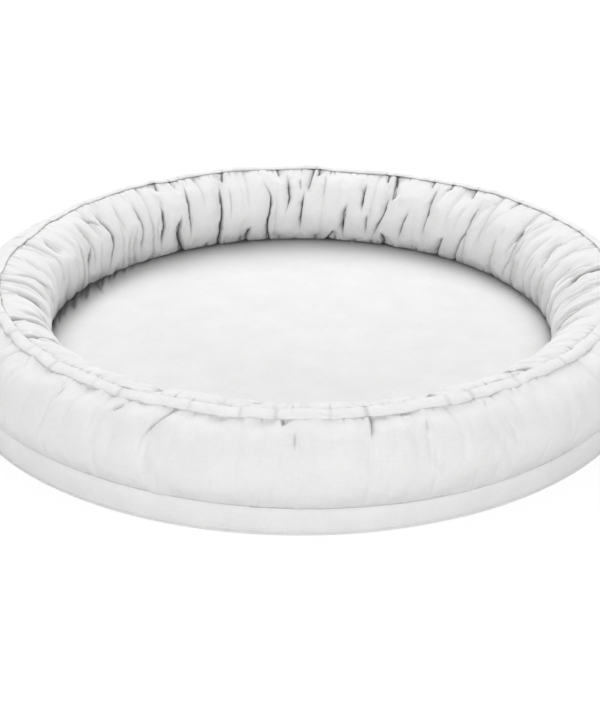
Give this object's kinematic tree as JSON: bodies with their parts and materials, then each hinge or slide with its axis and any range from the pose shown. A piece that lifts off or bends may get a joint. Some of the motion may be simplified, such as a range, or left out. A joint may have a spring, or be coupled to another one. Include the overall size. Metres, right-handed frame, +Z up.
{
  "type": "infant lounger",
  "caption": "Round padded infant lounger: a fibre-filled bolster ring with gathered inner cloth on a flat mattress, in a boxed cotton cover that zips at the back.",
  "frame": {"origin": "middle of the base panel's underside, on the floor", "axes": "+Z up out of the mattress, +Y towards the zip at the back, -Y towards the front of the picture, +X to the right as seen from the front"},
  "size_m": [0.9156, 0.9156, 0.1271],
  "materials": {
    "cotton": "matt plain-woven white cotton, lightly creased",
    "foam": "open-cell foam",
    "fibre_filling": "loose white polyester fibre",
    "zip_tape": "tightly woven white tape",
    "zip_teeth": "moulded white plastic, satin",
    "zip_metal": "white enamel, satin"
  },
  "bodies": {
    "lounger": {"base_panel": "cotton", "boxing_band": "cotton", "mattress_core": "foam", "sleep_surface_panel": "cotton", "bolster_filling": "fibre_filling", "bolster_inner_panel": "cotton", "bolster_outer_panel": "cotton", "top_band": "cotton", "zip_tape_upper": "zip_tape", "zip_teeth_upper": "zip_teeth", "zip_top_stop_upper": "zip_metal", "zip_tape_lower": "zip_tape", "zip_teeth_lower": "zip_teeth", "zip_top_stop_lower": "zip_metal", "zip_bottom_stop": "zip_metal"},
    "zip_slider": {"zip_slider": "zip_metal", "zip_slider_back_plate": "zip_metal"},
    "zip_puller": {"zip_puller": "zip_metal"}
  },
  "joints": [
    {"name": "zip_run", "type": "hinge", "parent": "lounger", "child": "zip_slider", "pos_m": [0, 0, 0.0177], "axis": [0, 0, -1], "range_deg": [0, 62.7]},
    {"name": "puller_swing", "type": "hinge", "parent": "zip_slider", "child": "zip_puller", "pos_m": [-0.23487, 0.38539, 0.0177], "axis": [0, 0, 1], "range_deg": [0, 178]}
  ]
}
